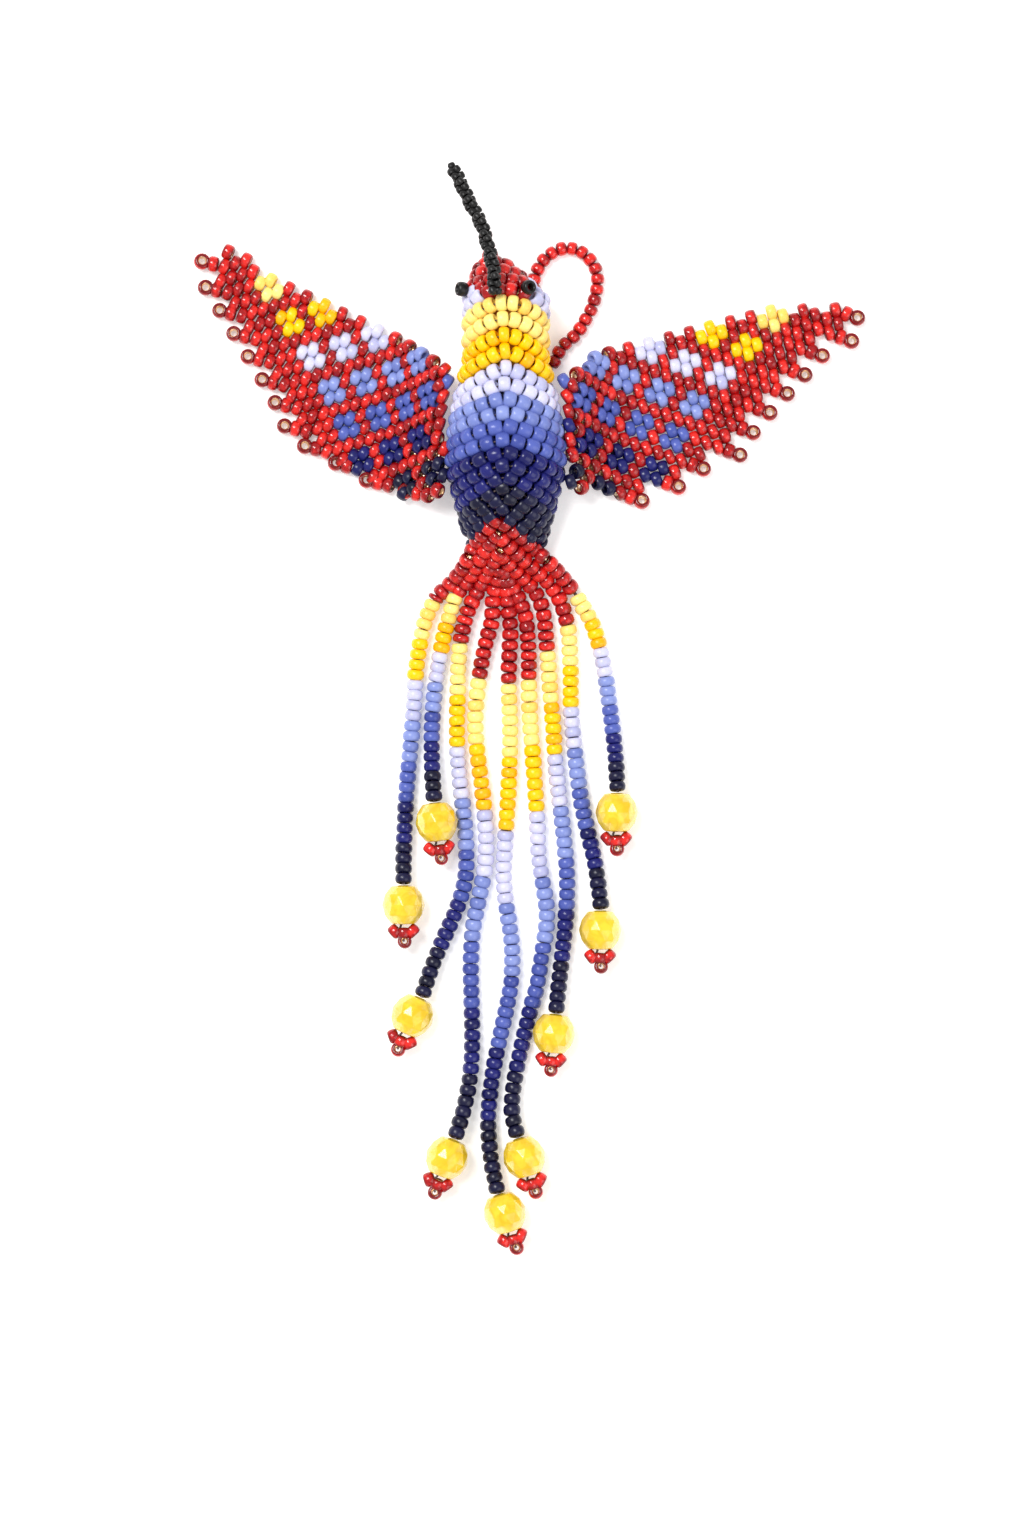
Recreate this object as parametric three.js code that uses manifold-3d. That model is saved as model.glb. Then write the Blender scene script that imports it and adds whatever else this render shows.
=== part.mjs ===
// A bead-woven hummingbird ornament, lying on its back with its wings and its fringe spread out.
// Millimetres. +Y points from the tail to the beak and +Z up from the surface that it lies on.
// The origin is the middle of the flattened patch of its back, on that surface.
// Each group of beads of one colour is one solid of the outer shape of its weave.

import * as THREE from 'three';
import { mergeVertices } from 'three/addons/utils/BufferGeometryUtils.js';
import Module from 'manifold-3d';

const wasm = await Module();
wasm.setup();

// Beads and thread
const SEED_BEAD = 2.1; // diameter of a seed bead, and of a string of them
const SEED_LENGTH = 1.5; // along its hole
const SEED_HOLE = 0.9;
const FACETED_BEAD = 6;
const FACETED_LENGTH = 5.4; // along its hole
const FACETED_HOLE = 1.3;
const THREAD = 0.5; // the strands of thread that hold a drop bead
const LOOP_BEAD = 2; // diameter of a bead of the hanging loop
const SEAM = 0.3; // clearance between pieces that are sewn side by side
const WEAVE = 1.9; // thickness of a woven wall

// The tube of the body: half widths, the places along Y where its colours and its taper change
const NECK_HALF_WIDTH = 6.3;
const BELLY_HALF_WIDTH = 8.7;
const RUMP_HALF_WIDTH = 5.4;
const HEAD_SEAM_Y = 19.6;
const CREAM_END_Y = 15.3;
const NECK_Y = 11;
const ORANGE_END_Y = 10.6;
const WHITE_END_Y = 5.5;
const LIGHT_END_Y = 1.5;
const BLUE_END_Y = -2.2;
const BELLY_Y = -4;
const NAVY_END_Y = -6.7;
const RUMP_APEX_Y = -11.4; // tip of the red wedge on the rump
const RUMP_END_Y = -16.3;
const NECK_ROUNDNESS = 0.9; // height over width of the tube
const BELLY_ROUNDNESS = 0.8;
const RUMP_ROUNDNESS = 0.5;
const NECK_LIFT = 0.69; // height of the neck's underside over the surface
const BACK_FLAT = 0.6; // how far the back is pressed flat where the bird lies on it
const RUMP_DROP = 3.2; // how far the tube's middle comes down at the tail
const TUBE_SIDES = 24;
const STRING_SIDES = 8;
const CUT_DEPTH = 60; // depth of a cutting block, more than the body's height

// Head and beak
const HEAD_LENGTH = 6.6;
const HEAD_LEAN = -0.35; // sideways shift for each mm along the head
const CROWN_HALF_WIDTH = 3.4;
const EYE_Y = 20.9;
const EYE_ANGLES = { left: 155, right: 55 }; // degrees round the head from +X towards +Z
const BEAK_WIDTH = 1.95;
const BEAK_STEP = 2; // length between its sections

// Wings
const WING_THICKNESS = 2;
const WING_ROOT_Z = 7.4; // top of a wing at its root
const WING_REST_Z = 0.1; // underside of a wing where it lies down
const WING_REACH = 9; // distance from the root over which a wing comes down
const WING_BLANK = 120; // side of the strip that a wing is cut from

// Tail
const PANEL_THICKNESS = 2;
const PANEL_FLAT_Y = -22; // where the tail panel meets the surface
const PANEL_END_Y = -34; // beyond its lowest edge
const LIE = 0.05; // clearance over the surface of what lies on it
const STRING_Z = SEED_BEAD / 2 + LIE; // middle of a bead string that lies down
const DROP_Z = FACETED_BEAD / 2 + LIE; // middle of a faceted bead that lies down
const DROP_RISE = 12; // length over which a string rises to its faceted bead
const DROP_GAP = 1.5; // from a string's end to its faceted bead, with the knot between them

// Routes of the bead strings, seen from above: hung from the tail panel, and one loop behind the neck
const STRINGS = {
  a: [[-9.8, -22.2], [-10.6, -23.6], [-11.4, -25.4], [-12.0, -27.6], [-12.5, -30.4], [-12.9, -33.4],
    [-13.1, -36.6], [-13.3, -39.8], [-13.6, -43.4], [-14.0, -47.6], [-14.3, -51.8], [-14.5, -56.0],
    [-14.6, -59.4], [-14.6, -62.2]],
  b: [[-7.2, -22.0], [-7.6, -23.4], [-8.2, -25.6], [-8.8, -27.6], [-9.3, -30.2], [-9.8, -33.2],
    [-10.2, -36.2], [-10.5, -39.8], [-10.6, -43.6], [-10.5, -47.4], [-10.3, -50.4]],
  c: [[-5.2, -23.8], [-5.9, -26.0], [-6.5, -29.0], [-6.8, -32.5], [-6.9, -36.4], [-7.0, -40.6],
    [-6.9, -44.8], [-6.5, -49.2], [-6.0, -53.6], [-5.7, -57.8], [-5.7, -61.8], [-6.4, -65.2],
    [-7.7, -68.6], [-9.2, -72.0], [-10.6, -75.4], [-11.6, -78.4]],
  d: [[-1.9, -25.6], [-3.0, -29.6], [-3.8, -34.0], [-4.3, -38.6], [-4.3, -42.1], [-3.9, -45.9],
    [-3.4, -49.7], [-3.0, -53.4], [-2.8, -57.2], [-3.0, -61.1], [-3.7, -64.9], [-4.7, -70.0],
    [-5.0, -75.0], [-4.9, -80.0], [-4.8, -86.0], [-5.1, -90.9], [-5.9, -95.3], [-6.9, -98.6]],
  e: [[0.7, -27.0], [0.5, -31.0], [0.4, -34.8], [0.6, -40.1], [0.6, -44.0], [0.4, -49.7],
    [0.1, -54.7], [-0.2, -59.3], [-0.3, -62.4], [0.0, -66.0], [0.5, -69.2], [0.9, -72.8],
    [0.8, -77.3], [0.1, -81.3], [-0.8, -85.3], [-1.7, -89.7], [-2.3, -94.1], [-2.5, -98.1],
    [-2.1, -102.9], [-1.4, -106.4]],
  f: [[3.1, -27.4], [3.3, -31.0], [3.3, -34.6], [3.5, -40.1], [3.8, -44.0], [4.2, -49.7],
    [4.5, -54.4], [4.7, -59.3], [5.2, -62.8], [5.8, -66.4], [5.8, -69.8], [5.1, -74.0],
    [4.5, -78.0], [3.5, -81.6], [2.5, -85.7], [1.6, -89.7], [1.0, -93.3], [0.9, -96.2],
    [1.4, -98.4]],
  g: [[5.6, -25.8], [5.8, -28.4], [6.1, -32.0], [6.4, -36.3], [6.8, -41.0], [7.1, -45.9],
    [7.7, -51.6], [8.4, -57.4], [8.8, -63.1], [8.6, -68.6], [8.0, -74.4], [7.6, -77.8],
    [7.3, -80.6]],
  h: [[8.5, -24.9], [9.0, -27.4], [9.2, -30.6], [9.3, -33.4], [9.3, -36.2], [9.4, -39.6],
    [9.8, -43.6], [10.3, -47.8], [10.9, -52.0], [11.8, -56.2], [12.8, -60.6], [13.5, -65.8]],
  i: [[9.7, -21.5], [10.8, -23.4], [12.1, -25.6], [13.0, -28.0], [13.7, -30.8], [14.3, -34.0],
    [14.8, -37.6], [15.3, -41.4], [15.7, -45.2], [15.9, -49.0]],
};
const DROP_TURNS = { a: 0, b: 2, c: -6, d: -4, e: 6, f: 4, g: 0, h: -8, i: -4 }; // degrees off its string
// The loop's third value is the height of its underside over the surface.
const LOOP = [[5.1, 10.0, 0.2], [6.7, 11.0, 0.1], [7.6, 12.7, 0.05], [8.5, 13.9, 0.05], [9.7, 14.9, 0.05],
  [10.6, 16.0, 0.05], [11.5, 17.5, 0.05], [12.3, 19.0, 0.05], [12.8, 20.6, 0.05], [13.1, 22.2, 0.05],
  [13.1, 23.8, 0.05], [12.6, 25.2, 0.05], [11.7, 26.4, 0.05], [10.6, 27.2, 0.05], [9.3, 27.6, 0.05],
  [7.9, 27.5, 0.05], [6.6, 26.9, 0.05], [5.5, 26.0, 0.05], [4.7, 24.8, 0.05], [4.1, 23.4, 0.05],
  [4.0, 21.9, 0.05], [4.6, 20.4, 0.15]];
// The beak lies over the crown. Its third value is the height over the top of the neck.
const BEAK = [[-1.6, 20.2, 1.3], [-1.6, 22.2, 1.0], [-2.1, 25.0, -0.1], [-2.8, 27.8, -1.4],
  [-3.6, 30.3, -2.4], [-4.9, 32.8, -3.2], [-5.9, 34.9, -3.8], [-6.7, 36.7, -4.3], [-7.6, 38.4, -4.8]];

// Outlines seen from above. A wing's root follows the body and the rest goes round from its front edge.
const RIGHT_WING = { front: 7.9, back: -7.2, outline: [[9.9, 10.6], [13.9, 12.9], [20.6, 15.1], [27.7, 16.7],
  [34.9, 18.1], [42, 19.1], [48.9, 19.1], [50.3, 16.5], [46.6, 13.6], [42, 9.7], [37.5, 5], [33.2, -1],
  [27.7, -4.6], [22, -7.1], [17, -9], [13.5, -8.1]] };
const LEFT_WING = { front: 8.6, back: -8, outline: [[-9.4, 11.7], [-13.7, 14.3], [-19.4, 17.4], [-26.5, 21.1],
  [-33.7, 24.6], [-41.4, 28.6], [-43.3, 24.3], [-42, 19.7], [-39.4, 15], [-34.8, 8.6], [-30.8, 1.7],
  [-25.8, -2.6], [-22.3, -4.6], [-17.3, -7.1], [-13, -9.1]] };
const PANEL_SIDES = {
  left: [[-6.2, -17.8], [-7.6, -19.8], [-9.9, -20.6]],
  right: [[8.6, -19.6], [6.8, -17.8]],
};
const PANEL_NOTCHES = { c: [[-5.7, -21.3]], i: [[7.9, -21.9]] }; // before the seat of that string
const SEAT_GAP = 0.9; // from the middle of a string's end up to the edge of the tail panel

const COLOURS = {
  cream: 0xffeb82, orange: 0xffc300, white: 0xe4e0f5, light: 0x96a0e4, blue: 0x6470cd,
  navy: 0x242880, black_navy: 0x1c1c40, black: 0x1c1a18, red: 0xb01c20, yellow: 0xf5d73c, core: 0xe9e2d2,
};

const ornament = new THREE.Group();

function addPiece(name, geometry, colour, roughness = 0.25) {
  const material = new THREE.MeshStandardMaterial({ color: COLOURS[colour], roughness, metalness: 0 });
  const piece = new THREE.Mesh(geometry, material);
  piece.name = name;
  ornament.add(piece);
  return piece;
}

function toSolid(geometry) {
  const bare = new THREE.BufferGeometry();
  bare.setAttribute('position', geometry.getAttribute('position'));
  bare.setIndex(geometry.getIndex());
  const merged = mergeVertices(bare, 1e-4);
  return new wasm.Manifold(new wasm.Mesh({
    numProp: 3,
    vertProperties: new Float32Array(merged.getAttribute('position').array),
    triVerts: new Uint32Array(merged.getIndex().array),
  }));
}

function toGeometry(solid) {
  const mesh = solid.getMesh();
  const geometry = new THREE.BufferGeometry();
  geometry.setAttribute('position', new THREE.BufferAttribute(mesh.vertProperties, 3));
  geometry.setIndex(new THREE.BufferAttribute(mesh.triVerts, 1));
  return geometry;
}

// The tube of the body

function alongTube(y, neck, belly, rump) {
  if (y > BELLY_Y) {
    return belly + (neck - belly) * Math.min(1, (y - BELLY_Y) / (NECK_Y - BELLY_Y)) ** 1.7;
  }
  return belly + (rump - belly) * Math.min(1, (BELLY_Y - y) / (BELLY_Y - RUMP_END_Y)) ** 1.1;
}

const halfWidth = (y) => alongTube(y, NECK_HALF_WIDTH, BELLY_HALF_WIDTH, RUMP_HALF_WIDTH);
const roundness = (y) => alongTube(y, NECK_ROUNDNESS, BELLY_ROUNDNESS, RUMP_ROUNDNESS);
const BELLY_AXIS_Z = BELLY_HALF_WIDTH * BELLY_ROUNDNESS - BACK_FLAT;
const NECK_AXIS_Z = NECK_HALF_WIDTH * NECK_ROUNDNESS + NECK_LIFT;
const axisZ = (y) => alongTube(y, NECK_AXIS_Z, BELLY_AXIS_Z, BELLY_AXIS_Z - RUMP_DROP);
const headShift = (y) => Math.max(0, y - HEAD_SEAM_Y) * HEAD_LEAN;

// Turns a lathe round Y into a part of the lying body: flattened, set at its height and pressed on the surface
function layOnBack(geometry) {
  const place = geometry.getAttribute('position');
  for (let i = 0; i < place.count; i += 1) {
    const y = place.getY(i);
    place.setX(i, place.getX(i) + headShift(y));
    place.setZ(i, Math.max(0, place.getZ(i) * roundness(y) + axisZ(y)));
  }
  return geometry;
}

function steps(from, to, count) {
  return Array.from({ length: count + 1 }, (_, i) => from + ((to - from) * i) / count);
}

function sleeve(fromY, toY, count) {
  const outer = steps(fromY, toY, count).map((y) => new THREE.Vector2(halfWidth(y), y));
  const inner = steps(toY, fromY, count).map((y) => new THREE.Vector2(halfWidth(y) - WEAVE, y));
  return layOnBack(new THREE.LatheGeometry([...outer, ...inner, outer[0]], TUBE_SIDES));
}

function domeRadius(y, inset) {
  const reach = HEAD_LENGTH - inset;
  const t = Math.min(1, (y - HEAD_SEAM_Y) / reach);
  return (NECK_HALF_WIDTH - inset) * (1 - t) ** 0.75;
}

function core() {
  const inset = WEAVE + SEAM;
  const tail = new THREE.Vector2(0, RUMP_END_Y + 2);
  const tube = steps(RUMP_END_Y + 2.4, HEAD_SEAM_Y, 8)
    .map((y) => new THREE.Vector2(halfWidth(y) - inset, y));
  const dome = steps(HEAD_SEAM_Y, HEAD_SEAM_Y + HEAD_LENGTH - inset, 4).slice(1)
    .map((y) => new THREE.Vector2(domeRadius(y, inset), y));
  return layOnBack(new THREE.LatheGeometry([tail, ...tube, ...dome], TUBE_SIDES));
}

// Head

function headShell() {
  const bottom = HEAD_SEAM_Y + SEAM;
  const inner = steps(HEAD_SEAM_Y + HEAD_LENGTH - WEAVE, bottom, 6)
    .map((y) => new THREE.Vector2(domeRadius(y, WEAVE), y));
  const outer = steps(bottom, HEAD_SEAM_Y + HEAD_LENGTH, 6)
    .map((y) => new THREE.Vector2(domeRadius(y, 0), y));
  return layOnBack(new THREE.LatheGeometry([...inner, ...outer], TUBE_SIDES));
}

// The part of the head between two distances from the head's middle plane, which leans with it
function headSlice(fromX, toX) {
  const block = new THREE.BoxGeometry(toX - fromX, 2 * HEAD_LENGTH, CUT_DEPTH);
  block.translate((fromX + toX) / 2, HEAD_SEAM_Y + HEAD_LENGTH, 0);
  const place = block.getAttribute('position');
  for (let i = 0; i < place.count; i += 1) {
    place.setX(i, place.getX(i) + (place.getY(i) - HEAD_SEAM_Y) * HEAD_LEAN);
  }
  return toGeometry(toSolid(headShell()).intersect(toSolid(block)));
}

function beadRing(diameter, hole, length, sides) {
  const profile = [[hole / 2, -0.3], [diameter * 0.36, -0.5], [diameter / 2, -0.22], [diameter / 2, 0.22],
    [diameter * 0.36, 0.5], [hole / 2, 0.3], [hole / 2, -0.3]];
  return new THREE.LatheGeometry(profile.map(([r, y]) => new THREE.Vector2(r, y * length)), sides);
}

function addEye(side) {
  const angle = THREE.MathUtils.degToRad(EYE_ANGLES[side]);
  const reach = domeRadius(EYE_Y, 0) + 2.2 * SEAM + SEED_LENGTH / 2;
  const out = new THREE.Vector3(Math.cos(angle), 0, Math.sin(angle));
  const eye = addPiece(`eye_${side}`, beadRing(SEED_BEAD, SEED_HOLE, SEED_LENGTH, 10), 'black');
  eye.quaternion.setFromUnitVectors(new THREE.Vector3(0, 1, 0), out);
  eye.position.set(out.x * reach + headShift(EYE_Y), EYE_Y, out.z * reach * NECK_ROUNDNESS + axisZ(EYE_Y));
}

// Strings of beads

function stringAlong(points, diameter, stepLength) {
  const curve = new THREE.CatmullRomCurve3(points);
  const section = new THREE.Shape(steps(0, STRING_SIDES - 1, STRING_SIDES - 1).map((i) => {
    const angle = (i * 2 * Math.PI) / STRING_SIDES;
    return new THREE.Vector2(Math.cos(angle) * (diameter / 2), Math.sin(angle) * (diameter / 2));
  }));
  const count = Math.ceil(curve.getLength() / stepLength);
  return new THREE.ExtrudeGeometry(section, { extrudePath: curve, steps: count, bevelEnabled: false });
}

const raised = (route, height) => route.map(([x, y, z]) => new THREE.Vector3(x, y, z + height));

// Gives each point of a fringe string its height: it lies down, then rises to the hole of its faceted bead
function fringeRoute(key) {
  const flat = STRINGS[key].map(([x, y]) => new THREE.Vector3(x, y, STRING_Z));
  const endZ = DROP_Z - 0.1;
  let left = 0;
  for (let i = flat.length - 1; i >= 0; i -= 1) {
    if (i < flat.length - 1) left += Math.hypot(flat[i + 1].x - flat[i].x, flat[i + 1].y - flat[i].y);
    flat[i].z += (endZ - STRING_Z) * Math.max(0, 1 - left / DROP_RISE) ** 2;
  }
  return flat;
}

// The frame in which a drop hangs: its origin at the middle of the faceted bead and +Y back up the string
function dropFrame(key) {
  const points = STRINGS[key];
  const [x, y] = points[points.length - 1];
  const [beforeX, beforeY] = points[points.length - 2];
  const heading = Math.atan2(y - beforeY, x - beforeX) + THREE.MathUtils.degToRad(DROP_TURNS[key]);
  const reach = FACETED_LENGTH / 2 + DROP_GAP;
  const middle = new THREE.Vector3(x + Math.cos(heading) * reach, y + Math.sin(heading) * reach, DROP_Z);
  return { middle, turn: heading + Math.PI / 2 };
}

function hangInFrame(piece, frame) {
  piece.position.copy(frame.middle);
  piece.rotation.z = frame.turn;
}

function facetedBead() {
  const half = FACETED_LENGTH / 2;
  const r = FACETED_BEAD / 2;
  const profile = [[FACETED_HOLE / 2, -half], [r * 0.55, -half], [r * 0.9, -half * 0.5], [r, 0],
    [r * 0.9, half * 0.5], [r * 0.55, half], [FACETED_HOLE / 2, half], [FACETED_HOLE / 2, -half]];
  return new THREE.LatheGeometry(profile.map(([radius, y]) => new THREE.Vector2(radius, y)), 10);
}

// Three red beads that stop a drop bead, with the thread that runs up through it from them
function picot() {
  const beads = [[-0.55, -0.43], [0.55, -0.43], [0, -1.05]].map(([x, y]) => {
    const bead = new THREE.SphereGeometry(SEED_BEAD / 2, 8, 5);
    bead.rotateX(Math.PI / 2);
    bead.translate(x * SEED_BEAD, y * SEED_BEAD - FACETED_LENGTH / 2 - SEAM, 0);
    return toSolid(bead);
  });
  const topEnd = FACETED_LENGTH / 2 + 2 * SEAM;
  const length = topEnd + FACETED_LENGTH / 2 + SEAM + SEED_BEAD / 2;
  const thread = new THREE.CylinderGeometry(THREAD / 2, THREAD / 2, length, 6);
  thread.translate(0, topEnd - length / 2, 0);
  return toGeometry(beads.reduce((all, bead) => all.add(bead), toSolid(thread)));
}

function addFringe(key) {
  addPiece(`strand_${key}`, stringAlong(fringeRoute(key), SEED_BEAD, 2.2 * SEED_BEAD), 'blue');
  hangInFrame(addPiece(`drop_bead_${key}`, facetedBead(), 'yellow', 0.1), dropFrame(key));
  hangInFrame(addPiece(`picot_${key}`, picot(), 'red', 0.15), dropFrame(key));
}

// Woven panels: a bent strip, cut to an outline seen from above

function extruded(points, depth) {
  return new THREE.ExtrudeGeometry(new THREE.Shape(points), { depth, bevelEnabled: false });
}

function cutToOutline(strip, outline) {
  const prism = extruded(outline.map(([x, y]) => new THREE.Vector2(x, y)), CUT_DEPTH);
  prism.translate(0, 0, -CUT_DEPTH / 2);
  return toGeometry(toSolid(strip).intersect(toSolid(prism)));
}

// One wing, with side 1 on the right and -1 on the left
function wing(side, { front, back, outline }) {
  const root = steps(back, front, 5).map((y) => [side * (halfWidth(y) + SEAM), y]);
  const startX = halfWidth(NECK_Y);
  const bendX = BELLY_HALF_WIDTH + 1;
  const across = [startX, ...steps(bendX, bendX + WING_REACH, 5), WING_BLANK / 2];
  const topZ = (x) => {
    const t = Math.min(1, Math.max(0, (x - bendX) / WING_REACH));
    return WING_REST_Z + WING_THICKNESS + (WING_ROOT_Z - WING_REST_Z - WING_THICKNESS) * (1 - t) ** 2;
  };
  const top = across.map((x) => new THREE.Vector2(side * x, topZ(x)));
  const under = across.map((x) => new THREE.Vector2(side * x, topZ(x) - WING_THICKNESS)).reverse();
  const strip = extruded([...top, ...under], WING_BLANK);
  strip.rotateX(Math.PI / 2);
  strip.translate(0, WING_BLANK / 2, 0);
  return cutToOutline(strip, [...root, ...outline]);
}

function rumpTopZ() {
  return axisZ(RUMP_END_Y) + RUMP_HALF_WIDTH * RUMP_ROUNDNESS;
}

function tailPanel() {
  const rootY = RUMP_END_Y - SEAM;
  const along = [...steps(rootY, PANEL_FLAT_Y, 4), PANEL_END_Y];
  const topZ = (y) => {
    const t = Math.min(1, (rootY - y) / (rootY - PANEL_FLAT_Y));
    const rest = STRING_Z + PANEL_THICKNESS / 2;
    return rest + (rumpTopZ() - rest) * (1 - t) ** 1.5;
  };
  const top = along.map((y) => new THREE.Vector2(y, topZ(y)));
  const under = along.map((y) => new THREE.Vector2(y, topZ(y) - PANEL_THICKNESS)).reverse();
  const strip = extruded([...top, ...under], CUT_DEPTH);
  strip.rotateX(Math.PI / 2);
  strip.rotateZ(Math.PI / 2);
  strip.translate(-CUT_DEPTH / 2, 0, 0);
  const seats = Object.entries(STRINGS)
    .flatMap(([key, [[x, y]]]) => [...(PANEL_NOTCHES[key] ?? []), [x, y + SEAT_GAP]]);
  const root = [[RUMP_HALF_WIDTH, rootY], [-RUMP_HALF_WIDTH, rootY]];
  return cutToOutline(strip, [...root, ...PANEL_SIDES.left, ...seats, ...PANEL_SIDES.right]);
}

// The red wedge on the upper side of the rump, let into its dark beads
function rumpWedge(clearance) {
  const halfBase = RUMP_HALF_WIDTH + 1 + clearance;
  const wedge = extruded([
    new THREE.Vector2(0, RUMP_APEX_Y + 2 * clearance),
    new THREE.Vector2(-halfBase, RUMP_END_Y - 1),
    new THREE.Vector2(halfBase, RUMP_END_Y - 1),
  ], CUT_DEPTH);
  wedge.translate(0, 0, axisZ(RUMP_END_Y) - clearance);
  return toSolid(wedge);
}

// The bird, from the inside out

addPiece('body_core', core(), 'core', 0.9);
addPiece('throat_band', sleeve(CREAM_END_Y + SEAM, HEAD_SEAM_Y, 2), 'cream');
addPiece('neck_band', sleeve(ORANGE_END_Y + SEAM, CREAM_END_Y, 2), 'orange');
addPiece('breast_band', sleeve(WHITE_END_Y + SEAM, ORANGE_END_Y, 3), 'white');
addPiece('upper_belly_band', sleeve(LIGHT_END_Y + SEAM, WHITE_END_Y, 2), 'light');
addPiece('belly_band', sleeve(BLUE_END_Y + SEAM, LIGHT_END_Y, 2), 'blue');
addPiece('lower_belly_band', sleeve(NAVY_END_Y + SEAM, BLUE_END_Y, 3), 'navy');
const rump = toSolid(sleeve(RUMP_END_Y, NAVY_END_Y, 4));
addPiece('rump_band', toGeometry(rump.subtract(rumpWedge(SEAM))), 'black_navy');
addPiece('tail_root', toGeometry(rump.intersect(rumpWedge(0))), 'red');

addPiece('crown', headSlice(-CROWN_HALF_WIDTH, CROWN_HALF_WIDTH), 'red');
addPiece('cheek_left', headSlice(-2 * NECK_HALF_WIDTH, -CROWN_HALF_WIDTH - SEAM), 'white');
addPiece('cheek_right', headSlice(CROWN_HALF_WIDTH + SEAM, 2 * NECK_HALF_WIDTH), 'white');
addEye('left');
addEye('right');
const neckTopZ = axisZ(HEAD_SEAM_Y) + NECK_HALF_WIDTH * NECK_ROUNDNESS;
addPiece('beak', stringAlong(raised(BEAK, neckTopZ), BEAK_WIDTH, BEAK_STEP), 'black');
addPiece('hanging_loop', stringAlong(raised(LOOP, LOOP_BEAD / 2), LOOP_BEAD, 1.5 * LOOP_BEAD), 'red', 0.15);

addPiece('wing_left', wing(-1, LEFT_WING), 'red', 0.2);
addPiece('wing_right', wing(1, RIGHT_WING), 'red', 0.2);
addPiece('tail_panel', tailPanel(), 'red', 0.2);
Object.keys(STRINGS).forEach(addFringe);

export default ornament;
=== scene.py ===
"""A hummingbird woven from glass seed beads, lying on its back with its wings and fringe spread.

Metres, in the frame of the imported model: +Y towards the beak, +Z up from the table.
"""

import math

import bpy
import numpy as np
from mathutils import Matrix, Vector


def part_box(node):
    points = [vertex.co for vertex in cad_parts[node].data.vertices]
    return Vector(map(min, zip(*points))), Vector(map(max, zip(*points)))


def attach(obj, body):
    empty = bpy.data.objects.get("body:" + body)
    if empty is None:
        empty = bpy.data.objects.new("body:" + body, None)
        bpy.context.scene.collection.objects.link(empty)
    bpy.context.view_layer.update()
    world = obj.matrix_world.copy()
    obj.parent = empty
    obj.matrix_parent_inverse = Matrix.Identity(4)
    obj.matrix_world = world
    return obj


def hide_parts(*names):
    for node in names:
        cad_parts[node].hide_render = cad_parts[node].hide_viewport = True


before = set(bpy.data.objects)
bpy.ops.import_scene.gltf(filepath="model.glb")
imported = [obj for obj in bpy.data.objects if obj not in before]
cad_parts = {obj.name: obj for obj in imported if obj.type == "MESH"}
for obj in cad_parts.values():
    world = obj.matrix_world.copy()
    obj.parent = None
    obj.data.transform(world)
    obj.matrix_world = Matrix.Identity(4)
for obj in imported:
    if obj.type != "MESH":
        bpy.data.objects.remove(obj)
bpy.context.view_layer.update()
MM = 0.001

# --- Camera: straight above the table, with the ornament a little above the middle of its view --
camera_data = bpy.data.cameras.new("camera")
camera_data.lens = 100
camera_data.sensor_width = 36
camera = bpy.data.objects.new("camera", camera_data)
camera.location = (0.89 * MM, -46.86 * MM, 612.4 * MM)
bpy.context.scene.collection.objects.link(camera)
bpy.context.scene.camera = camera


# --- Fringe strings ------------------------------------------------------------------------------
# Nine strings of glass seed beads on doubled nylon thread, which lie loose on the table. Each runs
# through seven colours to its drop bead. All but b and i start as a short red stub.
SEED_BEAD = 2.46 * MM  # diameter
SEED_LENGTH = 1.5 * MM  # along the hole
SEED_HOLE = 0.85 * MM
STRING_HOLE = 0.5 * MM  # where a bead is pulled close against its neighbours
THREAD = 0.5 * MM
STRING_Z = 1.29  # mm, the middle of a string that lies down
DROP_Z = 3.05  # mm, the middle of a drop bead that lies down
DROP_RISE = 12  # mm over which a string rises to its drop bead
INTO_WEAVE = 0.8  # mm of thread inside the weave above a string
TO_DROP = 1.3  # mm of bare thread down to the drop bead

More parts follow.
